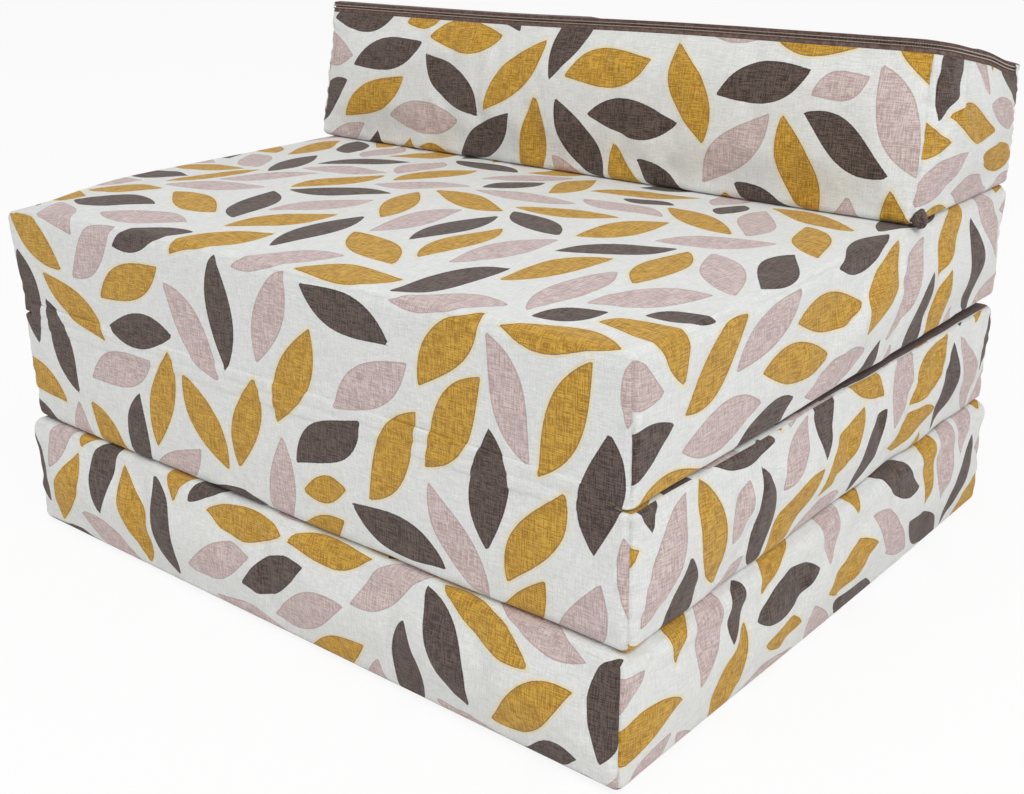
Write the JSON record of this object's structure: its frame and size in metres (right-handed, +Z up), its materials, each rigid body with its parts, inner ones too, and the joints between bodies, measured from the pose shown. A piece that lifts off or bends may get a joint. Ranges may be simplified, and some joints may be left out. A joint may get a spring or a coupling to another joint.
{
  "type": "fold out ottoman guest bed",
  "caption": "Folding foam guest bed stored as an ottoman seat: stacked hinged slabs with a wedge backrest, in zipped leaf print covers, opening to a flat mattress.",
  "frame": {"origin": "middle of the underside of the lowest slab, on the floor", "axes": "+X across the seat's width, +Z up, -Y towards the sitter, out of the front edge"},
  "size_m": [0.712, 0.6206, 0.4695],
  "materials": {
    "foam": "matte",
    "printed_cotton": "matte",
    "brown_cloth": "matte",
    "zip_tape": "matte",
    "zip_coil": "satin",
    "zip_metal": "satin"
  },
  "bodies": {
    "base_section": {"base_foam_core": "foam", "base_cover": "printed_cotton", "base_underside_panel": "brown_cloth", "base_zip_panel_tape": "zip_tape", "base_zip_panel_coil": "zip_coil", "base_zip_cover_coil": "zip_coil", "base_zip_cover_tape": "zip_tape", "base_zip_closed_end_stop": "zip_metal", "base_zip_open_end_stop": "zip_metal", "rear_hinge_lower_strip": "printed_cotton"},
    "base_slider": {"base_zip_slider": "zip_metal"},
    "base_pull": {"base_zip_pull": "zip_metal"},
    "middle_section": {"middle_foam_core": "foam", "middle_cover": "printed_cotton", "middle_underside_panel": "brown_cloth", "middle_zip_panel_tape": "zip_tape", "middle_zip_panel_coil": "zip_coil", "middle_zip_cover_coil": "zip_coil", "middle_zip_cover_tape": "zip_tape", "middle_zip_closed_end_stop": "zip_metal", "middle_zip_open_end_stop": "zip_metal", "rear_hinge_upper_strip": "printed_cotton", "front_hinge_lower_strip": "printed_cotton"},
    "middle_slider": {"middle_zip_slider": "zip_metal"},
    "middle_pull": {"middle_zip_pull": "zip_metal"},
    "seat_section": {"seat_foam_core": "foam", "seat_cover": "printed_cotton", "seat_underside_panel": "brown_cloth", "seat_zip_panel_tape": "zip_tape", "seat_zip_panel_coil": "zip_coil", "seat_zip_cover_coil": "zip_coil", "seat_zip_cover_tape": "zip_tape", "seat_zip_closed_end_stop": "zip_metal", "seat_zip_open_end_stop": "zip_metal", "front_hinge_upper_strip": "printed_cotton", "backrest_hinge_lower_strip": "printed_cotton"},
    "seat_slider": {"seat_zip_slider": "zip_metal"},
    "seat_pull": {"seat_zip_pull": "zip_metal"},
    "backrest_section": {"backrest_foam_core": "foam", "backrest_cover": "printed_cotton", "backrest_underside_panel": "brown_cloth", "backrest_zip_panel_tape": "zip_tape", "backrest_zip_panel_coil": "zip_coil", "backrest_zip_cover_coil": "zip_coil", "backrest_zip_cover_tape": "zip_tape", "backrest_zip_closed_end_stop": "zip_metal", "backrest_zip_open_end_stop": "zip_metal", "backrest_hinge_upper_strip": "printed_cotton"},
    "backrest_slider": {"backrest_zip_slider": "zip_metal"},
    "backrest_pull": {"backrest_zip_pull": "zip_metal"}
  },
  "joints": [
    {"name": "middle_fold", "type": "hinge", "parent": "base_section", "child": "middle_section", "pos_m": [0, 0.3058, 0.10715], "axis": [-1, 0, 0], "range_deg": [0, 180]},
    {"name": "seat_fold", "type": "hinge", "parent": "middle_section", "child": "seat_section", "pos_m": [0, -0.3058, 0.21415], "axis": [1, 0, 0], "range_deg": [0, 180]},
    {"name": "backrest_fold", "type": "hinge", "parent": "seat_section", "child": "backrest_section", "pos_m": [0, 0.3058, 0.32115], "axis": [-1, 0, 0], "range_deg": [0, 169]},
    {"name": "base_zip_slide", "type": "slide", "parent": "base_section", "child": "base_slider", "axis": [1, 0, 0], "range_m": [0, 0.62]},
    {"name": "base_pull_swing", "type": "hinge", "parent": "base_slider", "child": "base_pull", "pos_m": [-0.311, 0.3053, 0.01], "axis": [0, 0, 1], "range_deg": [0, 180]},
    {"name": "middle_zip_slide", "type": "slide", "parent": "middle_section", "child": "middle_slider", "axis": [-1, 0, 0], "range_m": [0, 0.62]},
    {"name": "middle_pull_swing", "type": "hinge", "parent": "middle_slider", "child": "middle_pull", "pos_m": [0.311, 0.3053, 0.195], "axis": [0, 0, -1], "range_deg": [0, 180]},
    {"name": "seat_zip_slide", "type": "slide", "parent": "seat_section", "child": "seat_slider", "axis": [1, 0, 0], "range_m": [0, 0.62]},
    {"name": "seat_pull_swing", "type": "hinge", "parent": "seat_slider", "child": "seat_pull", "pos_m": [-0.311, 0.3053, 0.2243], "axis": [0, 0, 1], "range_deg": [0, 180]},
    {"name": "backrest_zip_slide", "type": "slide", "parent": "backrest_section", "child": "backrest_slider", "axis": [0, -0.9816, 0.191], "range_m": [0, 0.14]},
    {"name": "backrest_pull_swing", "type": "hinge", "parent": "backrest_slider", "child": "backrest_pull", "pos_m": [-0.3528, 0.27567, 0.42952], "axis": [0, -0.191, -0.9816], "range_deg": [0, 180]}
  ]
}
